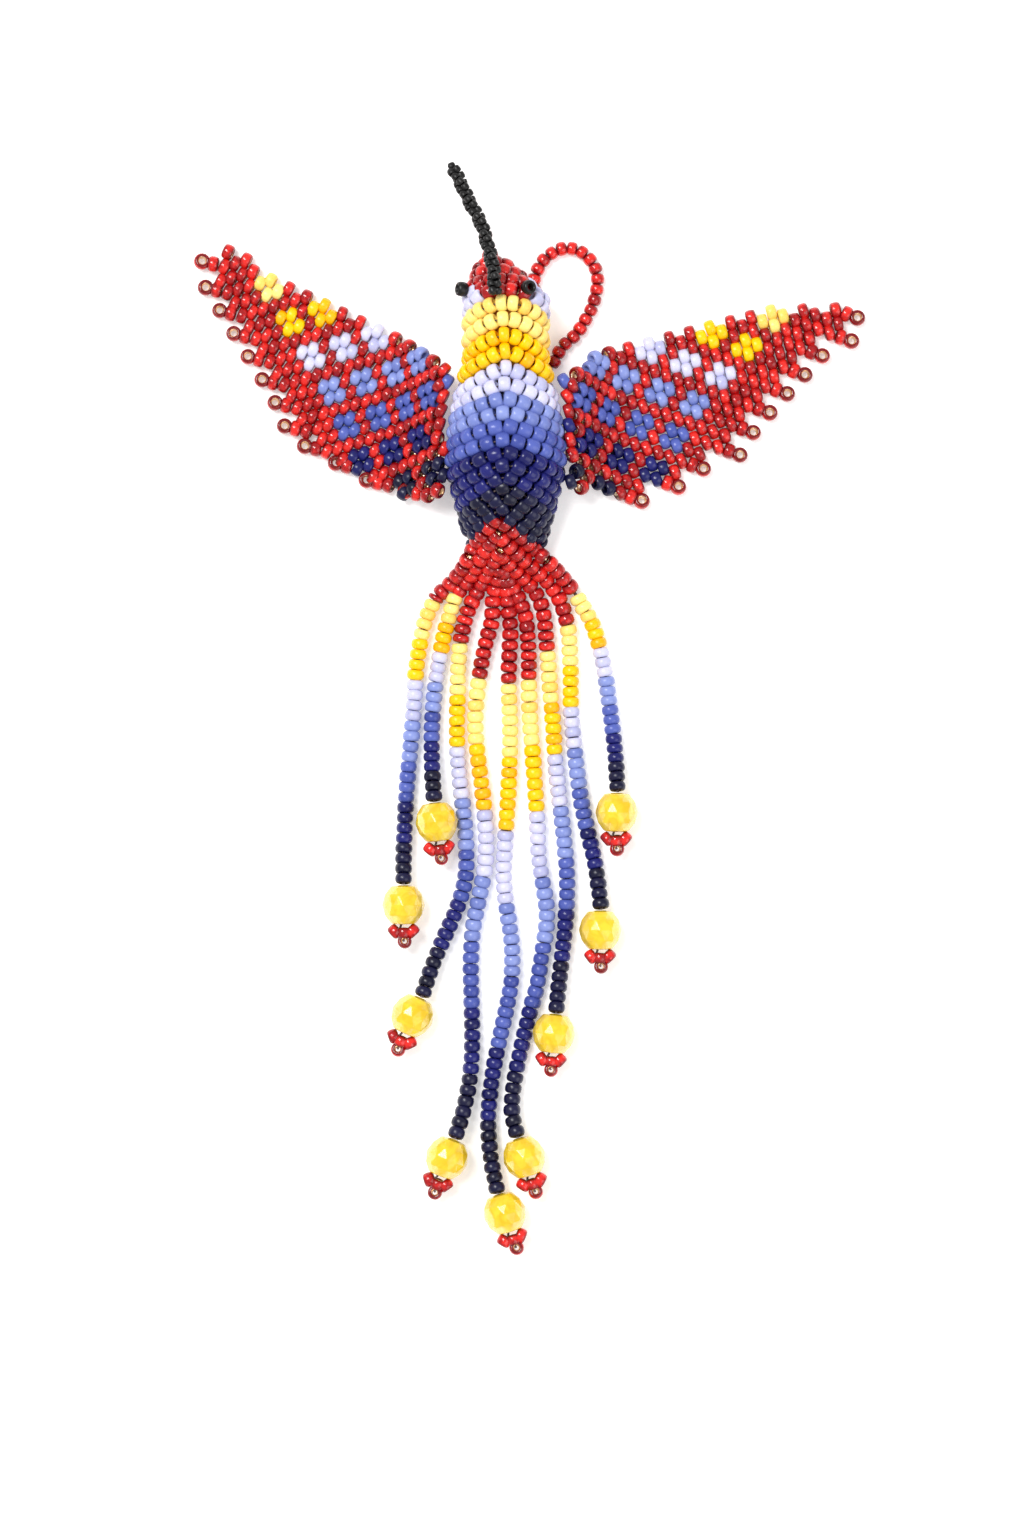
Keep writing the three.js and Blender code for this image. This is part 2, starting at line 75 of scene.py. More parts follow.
STRINGS = {
    "a": [(-9.8, -22.2), (-10.6, -23.6), (-11.4, -25.4), (-12.0, -27.6), (-12.5, -30.4), (-12.9, -33.4),
          (-13.1, -36.6), (-13.3, -39.8), (-13.6, -43.4), (-14.0, -47.6), (-14.3, -51.8), (-14.5, -56.0),
          (-14.6, -59.4), (-14.6, -62.2)],
    "b": [(-7.2, -22.0), (-7.6, -23.4), (-8.2, -25.6), (-8.8, -27.6), (-9.3, -30.2), (-9.8, -33.2),
          (-10.2, -36.2), (-10.5, -39.8), (-10.6, -43.6), (-10.5, -47.4), (-10.3, -50.4)],
    "c": [(-5.2, -23.8), (-5.9, -26.0), (-6.5, -29.0), (-6.8, -32.5), (-6.9, -36.4), (-7.0, -40.6),
          (-6.9, -44.8), (-6.5, -49.2), (-6.0, -53.6), (-5.7, -57.8), (-5.7, -61.8), (-6.4, -65.2),
          (-7.7, -68.6), (-9.2, -72.0), (-10.6, -75.4), (-11.6, -78.4)],
    "d": [(-1.9, -25.6), (-3.0, -29.6), (-3.8, -34.0), (-4.3, -38.6), (-4.3, -42.1), (-3.9, -45.9),
          (-3.4, -49.7), (-3.0, -53.4), (-2.8, -57.2), (-3.0, -61.1), (-3.7, -64.9), (-4.7, -70.0),
          (-5.0, -75.0), (-4.9, -80.0), (-4.8, -86.0), (-5.1, -90.9), (-5.9, -95.3), (-6.9, -98.6)],
    "e": [(0.7, -27.0), (0.5, -31.0), (0.4, -34.8), (0.6, -40.1), (0.6, -44.0), (0.4, -49.7),
          (0.1, -54.7), (-0.2, -59.3), (-0.3, -62.4), (0.0, -66.0), (0.5, -69.2), (0.9, -72.8),
          (0.8, -77.3), (0.1, -81.3), (-0.8, -85.3), (-1.7, -89.7), (-2.3, -94.1), (-2.5, -98.1),
          (-2.1, -102.9), (-1.4, -106.4)],
    "f": [(3.1, -27.4), (3.3, -31.0), (3.3, -34.6), (3.5, -40.1), (3.8, -44.0), (4.2, -49.7),
          (4.5, -54.4), (4.7, -59.3), (5.2, -62.8), (5.8, -66.4), (5.8, -69.8), (5.1, -74.0),
          (4.5, -78.0), (3.5, -81.6), (2.5, -85.7), (1.6, -89.7), (1.0, -93.3), (0.9, -96.2),
          (1.4, -98.4)],
    "g": [(5.6, -25.8), (5.8, -28.4), (6.1, -32.0), (6.4, -36.3), (6.8, -41.0), (7.1, -45.9),
          (7.7, -51.6), (8.4, -57.4), (8.8, -63.1), (8.6, -68.6), (8.0, -74.4), (7.6, -77.8),
          (7.3, -80.6)],
    "h": [(8.5, -24.9), (9.0, -27.4), (9.2, -30.6), (9.3, -33.4), (9.3, -36.2), (9.4, -39.6),
          (9.8, -43.6), (10.3, -47.8), (10.9, -52.0), (11.8, -56.2), (12.8, -60.6), (13.5, -65.8)],
    "i": [(9.7, -21.5), (10.8, -23.4), (12.1, -25.6), (13.0, -28.0), (13.7, -30.8), (14.3, -34.0),
          (14.8, -37.6), (15.3, -41.4), (15.7, -45.2), (15.9, -49.0)],
}
# How many beads of each of the seven colours a string has, and where the first cream one sits
COLOUR_RUN = {"a": 4, "b": 3, "c": 5, "d": 6, "e": 7, "f": 6, "g": 5, "h": 4, "i": 3}
CREAM_TOP_Y = {"a": -22.9, "b": -21.8, "c": -29.0, "d": -34.0, "e": -34.8, "f": -34.2, "g": -30.1,
               "h": -26.4, "i": -22.1}
FRINGE_ORDER = ["cream", "orange", "white", "light", "blue", "navy", "black_navy"]


def rgb(red, green, blue):
    """A colour as the eye reads it, 0 to 255, in the numbers that light works in."""
    return tuple(((c / 255 + 0.055) / 1.055) ** 2.4 if c > 10 else c / 3294 for c in (red, green, blue)) + (1,)


def glass(name, colour, shade, roughness=0.16, milk=0.0):
    """Opaque seed-bead glass: each bead a little lighter or darker, with faint streaks and ripples."""
    made = bpy.data.materials.new(name)
    made.use_nodes = True
    nodes, link = made.node_tree.nodes, made.node_tree.links.new
    surface = nodes["Principled BSDF"]
    own = nodes.new("ShaderNodeAttribute")
    own.attribute_name = "bead_tone"
    streak = nodes.new("ShaderNodeTexNoise")
    streak.inputs["Scale"].default_value = 900
    streak.inputs["Detail"].default_value = 3
    place = nodes.new("ShaderNodeTexCoord")
    link(place.outputs["Object"], streak.inputs["Vector"])
    amount = nodes.new("ShaderNodeMath")
    amount.operation = "MULTIPLY_ADD"
    amount.inputs[1].default_value = 0.45
    link(streak.outputs["Fac"], amount.inputs[0])
    link(own.outputs["Fac"], amount.inputs[2])
    tone = nodes.new("ShaderNodeValToRGB")
    tone.color_ramp.elements[0].position = 0.1
    tone.color_ramp.elements[0].color = shade
    tone.color_ramp.elements[1].position = 0.75
    tone.color_ramp.elements[1].color = colour
    link(amount.outputs["Value"], tone.inputs["Fac"])
    link(tone.outputs["Color"], surface.inputs["Base Color"])
    gloss = nodes.new("ShaderNodeMapRange")
    gloss.inputs["To Min"].default_value = roughness * 0.7
    gloss.inputs["To Max"].default_value = roughness * 1.6
    link(streak.outputs["Fac"], gloss.inputs["Value"])
    link(gloss.outputs["Result"], surface.inputs["Roughness"])
    ripple = nodes.new("ShaderNodeTexNoise")
    ripple.inputs["Scale"].default_value = 1500
    link(place.outputs["Object"], ripple.inputs["Vector"])
    bump = nodes.new("ShaderNodeBump")
    bump.inputs["Strength"].default_value = 0.12
    bump.inputs["Distance"].default_value = 0.00005
    link(ripple.outputs["Fac"], bump.inputs["Height"])
    link(bump.outputs["Normal"], surface.inputs["Normal"])
    surface.inputs["IOR"].default_value = 1.52
    surface.inputs["Specular IOR Level"].default_value = 0.34
    if milk:
        surface.inputs["Subsurface Weight"].default_value = milk
        surface.inputs["Subsurface Radius"].default_value = (1.0, 0.55, 0.25)
        surface.inputs["Subsurface Scale"].default_value = 0.0006
    return made


FINISHES = {
    "cream": glass("cream_glass", rgb(255, 227, 132), rgb(248, 198, 84), 0.26, milk=0.25),
    "orange": glass("orange_glass", rgb(255, 200, 0), rgb(246, 166, 0), 0.26, milk=0.25),
    "white": glass("lilac_white_glass", rgb(206, 205, 232), rgb(166, 168, 208), 0.24, milk=0.1),
    "light": glass("pale_periwinkle_glass", rgb(132, 146, 206), rgb(98, 112, 180), 0.24),
    "blue": glass("periwinkle_glass", rgb(82, 96, 174), rgb(54, 66, 142), 0.24),
    "navy": glass("navy_glass", rgb(30, 32, 106), rgb(14, 15, 66), 0.22),
    "black_navy": glass("black_navy_glass", rgb(18, 18, 56), rgb(7, 7, 28), 0.26),
    "black": glass("black_glass", rgb(16, 15, 15), rgb(5, 5, 5), 0.34),
}


def red_glass():
    """Deep red glass with a painted glow: brightest round each bead's middle and darkest at its ends, standing
    in for the light that the silvered hole throws back.
    """
    made = bpy.data.materials.new("silver_lined_red_glass")
    made.use_nodes = True
    nodes, link = made.node_tree.nodes, made.node_tree.links.new
    surface = nodes["Principled BSDF"]
    own = nodes.new("ShaderNodeAttribute")
    own.attribute_name = "bead_tone"
    middle = nodes.new("ShaderNodeAttribute")
    middle.attribute_name = "painted_glow_middle"
    ripple = nodes.new("ShaderNodeTexNoise")
    ripple.inputs["Scale"].default_value = 1100
    place = nodes.new("ShaderNodeTexCoord")
    link(place.outputs["Object"], ripple.inputs["Vector"])
    uneven = nodes.new("ShaderNodeMath")
    uneven.operation = "MULTIPLY_ADD"
    uneven.inputs[1].default_value = 0.35
    link(own.outputs["Fac"], uneven.inputs[0])
    link(ripple.outputs["Fac"], uneven.inputs[2])
    # Painted glow: each bead's middle made bright and its ends made dark, for the light thrown back by its
    # lining.
    glow = nodes.new("ShaderNodeMath")
    glow.operation = "MULTIPLY"
    link(middle.outputs["Fac"], glow.inputs[0])
    link(uneven.outputs["Value"], glow.inputs[1])
    tone = nodes.new("ShaderNodeValToRGB")
    tone.color_ramp.elements[0].position = 0.12
    tone.color_ramp.elements[0].color = rgb(122, 6, 12)
    tone.color_ramp.elements[1].position = 0.78
    tone.color_ramp.elements[1].color = rgb(250, 44, 36)
    half = tone.color_ramp.elements.new(0.5)
    half.color = rgb(178, 17, 23)
    link(glow.outputs["Value"], tone.inputs["Fac"])
    link(tone.outputs["Color"], surface.inputs["Base Color"])
    gloss = nodes.new("ShaderNodeMapRange")
    gloss.inputs["To Min"].default_value = 0.08
    gloss.inputs["To Max"].default_value = 0.24
    link(ripple.outputs["Fac"], gloss.inputs["Value"])
    link(gloss.outputs["Result"], surface.inputs["Roughness"])
    surface.inputs["Transmission Weight"].default_value = 0.3
    surface.inputs["IOR"].default_value = 1.5
    return made


def silver_lining():
    """The silvered wall of a red bead's hole, a little golden where it is worn."""
    made = bpy.data.materials.new("silver_lining")
    made.use_nodes = True
    nodes, link = made.node_tree.nodes, made.node_tree.links.new
    surface = nodes["Principled BSDF"]
    wear = nodes.new("ShaderNodeTexNoise")
    wear.inputs["Scale"].default_value = 1600
    place = nodes.new("ShaderNodeTexCoord")
    link(place.outputs["Object"], wear.inputs["Vector"])
    tone = nodes.new("ShaderNodeValToRGB")
    tone.color_ramp.elements[0].position = 0.35
    tone.color_ramp.elements[0].color = rgb(226, 186, 140)
    tone.color_ramp.elements[1].position = 0.65
    tone.color_ramp.elements[1].color = rgb(252, 232, 205)
    link(wear.outputs["Fac"], tone.inputs["Fac"])
    link(tone.outputs["Color"], surface.inputs["Base Color"])
    surface.inputs["Metallic"].default_value = 1.0
    surface.inputs["Roughness"].default_value = 0.28
    return made


RED_GLASS = red_glass()
LINING = silver_lining()

BEAD_SIDES = 16
SECTION = 12  # points round the glass of a bead, from the middle of its outside
luck = np.random.default_rng(7)


def bead_work(name, places, axes, colour, diameter=SEED_BEAD, length=SEED_LENGTH, hole=SEED_HOLE):
    """One piece of work in beads of one colour: the middle of each bead, and the way its hole runs."""
    middles = np.array(places, float).reshape(-1, 3)
    along = np.array(axes, float).reshape(-1, 3)
    count = len(middles)
    along = along + luck.normal(0, 0.05, (count, 3))
    along /= np.linalg.norm(along, axis=1)[:, None]
    helper = np.where(np.abs(along[:, 2:3]) < 0.8, np.array([[0, 0, 1.0]]), np.array([[1.0, 0, 0]]))
    across = np.cross(along, helper)
    across /= np.linalg.norm(across, axis=1)[:, None]
    over = np.cross(along, across)
    wide = diameter * luck.normal(1, 0.018, count)
    deep = np.broadcast_to(length, count) * luck.normal(1, 0.025, count)
    spin = luck.uniform(0, math.tau, count)

    turn = np.arange(SECTION) * math.tau / SECTION
    soft = lambda v, power: np.sign(v) * np.abs(v) ** power
    inner, outer = hole / 2, wide / 2
    radius = (inner + outer)[:, None] / 2 + (outer - inner)[:, None] / 2 * soft(np.cos(turn), 0.9)[None, :]
    rise = deep[:, None] / 2 * soft(np.sin(turn), 0.9)[None, :]
    angle = np.arange(BEAD_SIDES) * math.tau / BEAD_SIDES + spin[:, None]
    round_ = (np.cos(angle)[:, :, None] * across[:, None, :] + np.sin(angle)[:, :, None] * over[:, None, :])
    points = (middles[:, None, None, :] + radius[:, None, :, None] * round_[:, :, None, :]
              + rise[:, None, :, None] * along[:, None, None, :])
    side, step = np.meshgrid(np.arange(BEAD_SIDES), np.arange(SECTION), indexing="ij")
    next_side, next_step = (side + 1) % BEAD_SIDES, (step + 1) % SECTION
    quads = np.stack([side * SECTION + step, next_side * SECTION + step,
                      next_side * SECTION + next_step, side * SECTION + next_step], -1).reshape(-1, 4)
    each = BEAD_SIDES * SECTION
    faces = (quads[None] + (np.arange(count) * each)[:, None, None]).reshape(-1, 4)

    mesh = bpy.data.meshes.new(name)
    mesh.from_pydata(points.reshape(-1, 3).tolist(), [], faces.tolist())
    tone = mesh.attributes.new("bead_tone", "FLOAT", "POINT")
    tone.data.foreach_set("value", np.repeat(luck.uniform(0, 1, count), each).astype(np.float32))
    if colour == "red":
        # Painted glow for the red glass: 1 round the middle of each bead's length, 0 at its ends.
        middle = mesh.attributes.new("painted_glow_middle", "FLOAT", "POINT")
        middle.data.foreach_set("value", np.tile(np.abs(np.cos(turn)), count * BEAD_SIDES).astype(np.float32))
        mesh.materials.append(RED_GLASS)
        mesh.materials.append(LINING)
        lined = np.abs(step.reshape(-1) + 0.5 - SECTION / 2) < SECTION * 0.17
        mesh.polygons.foreach_set("material_index", np.tile(lined, count).astype(np.int32))
    else:
        mesh.materials.append(FINISHES[colour])
    mesh.polygons.foreach_set("use_smooth", np.ones(len(faces), bool))
    mesh.update()
    work = bpy.data.objects.new(name, mesh)
    bpy.context.scene.collection.objects.link(work)
    return work


RUN_STEP = 0.0003  # between the points of a run
SPAN_PARTS = 24  # parts of a curve between two of its knots


def smooth_run(points, step=RUN_STEP):
    """The soft line that a thread takes through these points, as points a short step apart."""
    knots = np.array(points, float)
    knots = np.vstack([2 * knots[0] - knots[1], knots, 2 * knots[-1] - knots[-2]])
    fine = []
    for a, b, c, d in zip(knots, knots[1:], knots[2:], knots[3:]):
        t = np.linspace(0, 1, SPAN_PARTS, endpoint=False)[:, None]
        fine.append(0.5 * (2 * b + (c - a) * t + (2 * a - 5 * b + 4 * c - d) * t**2
                           + (3 * b - a - 3 * c + d) * t**3))
    fine = np.vstack([*fine, knots[-2:-1]])
    gone = np.concatenate([[0], np.cumsum(np.linalg.norm(np.diff(fine, axis=0), axis=1))])
    count = max(2, int(round(gone[-1] / step)))
    at = np.linspace(0, gone[-1], count + 1)
    return np.stack([np.interp(at, gone, fine[:, k]) for k in range(3)], -1)


def run_length(run):
    """How long a run is."""
    return float(np.linalg.norm(np.diff(run, axis=0), axis=1).sum())


def on_run(run, distances):
    """Places at these distances along a run, and the way it goes there."""
    gone = np.concatenate([[0], np.cumsum(np.linalg.norm(np.diff(run, axis=0), axis=1))])
    at = lambda d: np.stack([np.interp(d, gone, run[:, k]) for k in range(3)], -1)
    distances = np.array(distances, float)
    nudge = 0.0004
    ways = at(distances + nudge) - at(distances - nudge)
    return at(distances), ways / np.linalg.norm(ways, axis=1)[:, None]


def thread_finish():
    """Twisted nylon beading thread, warm grey with lighter strands."""
    made = bpy.data.materials.new("nylon_thread")
    made.use_nodes = True
    nodes, link = made.node_tree.nodes, made.node_tree.links.new
    surface = nodes["Principled BSDF"]
    twist = nodes.new("ShaderNodeTexWave")
    twist.inputs["Scale"].default_value = 900
    twist.inputs["Distortion"].default_value = 2
    place = nodes.new("ShaderNodeTexCoord")
    link(place.outputs["Object"], twist.inputs["Vector"])
    tone = nodes.new("ShaderNodeValToRGB")
    tone.color_ramp.elements[0].color = rgb(84, 70, 74)
    tone.color_ramp.elements[1].color = rgb(128, 110, 108)
    link(twist.outputs["Fac"], tone.inputs["Fac"])
    link(tone.outputs["Color"], surface.inputs["Base Color"])
    surface.inputs["Roughness"].default_value = 0.6
    return made


THREAD_FINISH = thread_finish()


def lay_thread(name, run):
    """A length of thread along a run."""
    curve = bpy.data.curves.new(name, "CURVE")
    curve.dimensions = "3D"
    curve.bevel_depth = THREAD / 2
    curve.bevel_resolution = 2
    curve.use_fill_caps = True
    line = curve.splines.new("POLY")
    kept = run[::4] if (len(run) - 1) % 4 == 0 else np.vstack([run[::4], run[-1:]])
    line.points.add(len(kept) - 1)
    line.points.foreach_set("co", np.hstack([kept, np.ones((len(kept), 1))]).reshape(-1))
    curve.materials.append(THREAD_FINISH)
    thread = bpy.data.objects.new(name, curve)
    bpy.context.scene.collection.objects.link(thread)
    return thread


def fringe_run(key):
    """A fringe string's line: it lies down, then rises to the hole of its drop bead."""
    flat = STRINGS[key]
    left = [0.0]
    for (x0, y0), (x1, y1) in zip(flat[:-1][::-1], flat[1:][::-1]):
        left.append(left[-1] + math.hypot(x1 - x0, y1 - y0))
    heights = [STRING_Z + (DROP_Z - 0.1 - STRING_Z) * max(0, 1 - d / DROP_RISE) ** 2 for d in left[::-1]]
    return smooth_run([(x * MM, y * MM, z * MM) for (x, y), z in zip(flat, heights)])


for key in STRINGS:
    run = fringe_run(key)
    gone = np.concatenate([[0], np.cumsum(np.linalg.norm(np.diff(run, axis=0), axis=1))])
    cream_top = float(np.interp(-CREAM_TOP_Y[key] * MM, -run[:, 1], gone))
    # The thread itself comes out of the weave above and goes on to the hole of the drop bead.
    step_mm = RUN_STEP / MM
    top = run[0] + (run[0] - run[1]) / step_mm * INTO_WEAVE
    foot = run[-1] + (run[-1] - run[-2]) / step_mm * TO_DROP
    full = np.vstack([top, run, foot])
    thread = lay_thread(f"thread_{key}", full)
    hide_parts(f"strand_{key}")
    # The beads are pushed down the thread, so that the last one sits against the drop bead.
    above = float(np.linalg.norm(full[0] - run[0]))
    cream_top += above
    pitch = (run_length(full) - 0.1 * MM - cream_top) / (7 * COLOUR_RUN[key])
    on_it = []
    stubs = round((cream_top - above) / SEED_LENGTH)
    if stubs:
        step = (cream_top - above) / stubs
        middles, ways = on_run(full, above + (np.arange(stubs) + 0.5) * step)
        on_it.append(bead_work(f"stub_{key}", middles, ways, "red", length=step * 0.97, hole=STRING_HOLE))
    for band, colour in enumerate(FRINGE_ORDER):
        first = cream_top + band * COLOUR_RUN[key] * pitch
        middles, ways = on_run(full, first + (np.arange(COLOUR_RUN[key]) + 0.5) * pitch)
        on_it.append(bead_work(f"fringe_{key}_{colour}", middles, ways, colour, length=pitch * 0.98,
                               hole=STRING_HOLE))
    for piece in [thread, *on_it]:
        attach(piece, f"string_{key}")


# --- Drop beads ----------------------------------------------------------------------------------
# A faceted bead of streaky yellow acrylic at the end of each string, held by a picot: red beads
# that the thread turns round below it before it goes back up through the hole.
FACETED_BEAD = 6 * MM
FACETED_LENGTH = 5.4 * MM
DROP_GAP = 1.5  # mm from a string's end to its drop bead
# How far each drop bead turns off the line of its string, in degrees
DROP_TURNS = {"a": 0, "b": 2, "c": -6, "d": -4, "e": 6, "f": 4, "g": 0, "h": -8, "i": -4}
FACETS = 12
TIE_RADIUS = 0.16 * MM


def yellow_acrylic():
    """Yellow acrylic with paler streaks, which lets a little light through."""
    made = bpy.data.materials.new("yellow_acrylic")
    made.use_nodes = True
    nodes, link = made.node_tree.nodes, made.node_tree.links.new
    surface = nodes["Principled BSDF"]
    place = nodes.new("ShaderNodeTexCoord")
    flow = nodes.new("ShaderNodeTexNoise")
    flow.inputs["Scale"].default_value = 420
    flow.inputs["Detail"].default_value = 4
    flow.inputs["Distortion"].default_value = 1.4
    link(place.outputs["Object"], flow.inputs["Vector"])
    tone = nodes.new("ShaderNodeValToRGB")
    tone.color_ramp.elements[0].position = 0.35
    tone.color_ramp.elements[0].color = rgb(234, 192, 30)
    tone.color_ramp.elements[1].position = 0.62
    tone.color_ramp.elements[1].color = rgb(250, 216, 52)
    link(flow.outputs["Fac"], tone.inputs["Fac"])
    link(tone.outputs["Color"], surface.inputs["Base Color"])
    surface.inputs["Transmission Weight"].default_value = 0.15
    surface.inputs["Roughness"].default_value = 0.16
    surface.inputs["IOR"].default_value = 1.49
    return made


YELLOW = yellow_acrylic()


def drop_frame(key):
    """The middle of a drop bead, and the way up its string."""
    (x0, y0), (x1, y1) = STRINGS[key][-2:]
    heading = math.atan2(y1 - y0, x1 - x0) + math.radians(DROP_TURNS[key])
    reach = FACETED_LENGTH / MM / 2 + DROP_GAP
    middle = np.array([x1 + math.cos(heading) * reach, y1 + math.sin(heading) * reach, DROP_Z]) * MM
    up = -np.array([math.cos(heading), math.sin(heading), 0])
    return middle, up, np.array([up[1], -up[0], 0])


def faceted_bead(name, middle, up, right):
    """Rings of corners, each turned half a facet from the last, round a straight hole."""
    # Each ring: its width and its height as parts of the bead, and its turn in facets
    rings = [(0.24, 0.52, 0), (0.6, 0.49, 0), (0.91, 0.27, 0.5), (1.02, 0.0, 0), (0.91, -0.27, 0.5),
             (0.6, -0.49, 0), (0.24, -0.52, 0)]
    over = np.array([0, 0, 1.0])
    points = []
    for size, height, half in rings:
        for k in range(FACETS):
            a = (k + half) * math.tau / FACETS
            points.append(middle + up * height * FACETED_LENGTH
                          + (right * math.cos(a) + over * math.sin(a)) * size * FACETED_BEAD / 2)
    faces = []
    for r in range(len(rings)):
        low, high = r * FACETS, ((r + 1) % len(rings)) * FACETS
        shift = rings[(r + 1) % len(rings)][2] - rings[r][2]
        for k in range(FACETS):
            n, p = (k + 1) % FACETS, (k - 1) % FACETS
            if shift > 0:
                faces += [(low + k, high + k, low + n), (low + n, high + k, high + n)]
            elif shift < 0:
                faces += [(low + k, high + k, high + n), (low + k, high + n, low + n)]
            else:
                faces.append((low + k, high + k, high + n, low + n))
    mesh = bpy.data.meshes.new(name)
    mesh.from_pydata([tuple(p) for p in points], [], faces)
    mesh.materials.append(YELLOW)
    bead = bpy.data.objects.new(name, mesh)
    bpy.context.scene.collection.objects.link(bead)
    edge = bead.modifiers.new("worn_edges", "BEVEL")
    edge.width = 0.12 * MM
    edge.segments = 2
    edge.limit_method = "ANGLE"
    edge.angle_limit = math.radians(8)
    return bead


for key in STRINGS:
    middle, up, right = drop_frame(key)
    bead = faceted_bead(f"drop_{key}", middle, up, right)
    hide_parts(f"drop_bead_{key}")
    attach(bead, f"drop_{key}")
    spot = lambda x, y, z=0.0: middle + (right * x + up * y + np.array([0, 0, z])) * MM
    turned = [spot(-1.25, -3.8), spot(1.25, -3.75), spot(0.0, -4.0, 0.1), spot(0.15, -5.25)]
    ways = [right * 0.75 + up * 0.65, right * 0.75 - up * 0.65, -up, np.array([0, 0.15, 1.0])]
    picot = bead_work(f"picot_beads_{key}", turned, ways, "red", diameter=2.1 * MM, length=1.5 * MM,
                      hole=0.6 * MM)
    turn_back = smooth_run([spot(0, 2.5), spot(-0.2, 1.2), spot(-0.1, -2.6), spot(-1.2, -3.8),
                            spot(-0.3, -4.6), spot(0.15, -5.25)])
    tie = lay_thread(f"tie_{key}", turn_back)
    tie.data.bevel_depth = TIE_RADIUS
    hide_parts(f"picot_{key}")
    for piece in (picot, tie):
        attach(piece, f"drop_{key}")


# --- Hanging loop --------------------------------------------------------------------------------
# One thread of red seed beads from the nape round to the side of the head, by which the ornament
# hangs. It lies on the table beside the head, and its end rises to the cheek.
LOOP_BEAD = 2.0 * MM
LOOP_BEADS = 22
LOOP = [(5.1, 10.0, 1.2), (6.7, 11.0, 1.1), (7.6, 12.7, 1.05), (8.5, 13.9, 1.05), (9.7, 14.9, 1.05),
        (10.6, 16.0, 1.05), (11.5, 17.5, 1.05), (12.3, 19.0, 1.05), (12.8, 20.6, 1.05),
        (13.1, 22.2, 1.05), (13.1, 23.8, 1.05), (12.6, 25.2, 1.05), (11.7, 26.4, 1.05),
        (10.6, 27.2, 1.05), (9.3, 27.6, 1.05), (7.9, 27.5, 1.05), (6.6, 26.9, 1.05),
        (5.5, 26.0, 1.05), (4.7, 24.8, 1.05), (4.1, 23.4, 1.05), (4.0, 21.9, 1.05), (4.5, 20.6, 1.2),
        (4.2, 19.9, 2.0)]
loop_run = smooth_run([(x * MM, y * MM, z * MM) for x, y, z in LOOP])
loop_thread = lay_thread("loop_thread", loop_run)
loop_pitch = run_length(loop_run) / LOOP_BEADS
middles, ways = on_run(loop_run, (np.arange(LOOP_BEADS) + 0.5) * loop_pitch)
loop_work = bead_work("loop_beads", middles, ways, "red", diameter=LOOP_BEAD, length=loop_pitch * 0.97,
                      hole=0.3 * MM)
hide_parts("hanging_loop")
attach(loop_thread, "loop")
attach(loop_work, "loop")


# --- Body core -----------------------------------------------------------------------------------
# A firm roll of cotton wadding that the body is woven over. It shows only between the beads, coloured with
# painted shade and painted glow.
MIX_A, MIX_B, MIX_OUT = 6, 7, 2  # the colour sockets of a Mix node


def wadding():
    """Cotton wadding with painted shade and glow from the beads that lie on it."""
    made = bpy.data.materials.new("wadding_painted_shade")
    made.use_nodes = True
    nodes, link = made.node_tree.nodes, made.node_tree.links.new
    surface = nodes["Principled BSDF"]
    place = nodes.new("ShaderNodeTexCoord")
    fluff = nodes.new("ShaderNodeTexNoise")
    fluff.inputs["Scale"].default_value = 1400
    fluff.inputs["Detail"].default_value = 6
    link(place.outputs["Object"], fluff.inputs["Vector"])
    # Painted shade and light along Y: dark for the shade under the blue, warm orange for the glow through the
    # orange and cream beads.
    split = nodes.new("ShaderNodeSeparateXYZ")
    link(place.outputs["Object"], split.inputs["Vector"])
    up = nodes.new("ShaderNodeMapRange")
    up.inputs["From Min"].default_value = 0.006
    up.inputs["From Max"].default_value = 0.012
    link(split.outputs["Y"], up.inputs["Value"])
    dark, warm = nodes.new("ShaderNodeValToRGB"), nodes.new("ShaderNodeValToRGB")
    dark.color_ramp.elements[0].color, dark.color_ramp.elements[1].color = rgb(24, 22, 40), rgb(58, 54, 84)
    warm.color_ramp.elements[0].color, warm.color_ramp.elements[1].color = rgb(176, 92, 16), rgb(232, 150, 40)
    both = nodes.new("ShaderNodeMix")
    both.data_type = "RGBA"
    link(fluff.outputs["Fac"], dark.inputs["Fac"])
    link(fluff.outputs["Fac"], warm.inputs["Fac"])
    link(up.outputs["Result"], both.inputs["Factor"])
    link(dark.outputs["Color"], both.inputs[MIX_A])
    link(warm.outputs["Color"], both.inputs[MIX_B])
    link(both.outputs[MIX_OUT], surface.inputs["Base Color"])
    bump = nodes.new("ShaderNodeBump")
    bump.inputs["Distance"].default_value = 0.0002
    link(fluff.outputs["Fac"], bump.inputs["Height"])
    link(bump.outputs["Normal"], surface.inputs["Normal"])
    surface.inputs["Roughness"].default_value = 0.9
    return made


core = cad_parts["body_core"]
core.data.materials.clear()
core.data.materials.append(wadding())


# --- Woven bands of the body ---------------------------------------------------------------------
# Rings of glass seed beads sewn one to the next round the core, their holes along the ring: two
# rows in straight columns for each colour of the neck, then rows set half a bead over.
BELLY_Y, NECK_Y, RUMP_Y, HEAD_Y = -4, 11, -16.3, 19.6
HEAD_LEAN = 0.35  # how far the head leans towards -X as it goes on
RUMP_MARGIN = 0.4


def along_tube(y, neck, belly, rump):
    """A measure that runs softly from the neck's value to the belly's and on to the rump's."""
    if y > BELLY_Y:
        return belly + (neck - belly) * min(1, (y - BELLY_Y) / (NECK_Y - BELLY_Y)) ** 1.7
    return belly + (rump - belly) * min(1, (BELLY_Y - y) / (BELLY_Y - RUMP_Y)) ** 1.1


def half_width(y):
    """Half the tube's width."""
    return along_tube(y, neck=6.3, belly=8.7, rump=5.4)


def roundness(y):
    """The tube's height as a part of its width."""
    return along_tube(y, neck=0.9, belly=0.8, rump=0.5)


def axis_z(y):
    """The height of the tube's middle over the table."""
    return along_tube(y, neck=6.36, belly=6.36, rump=3.16)


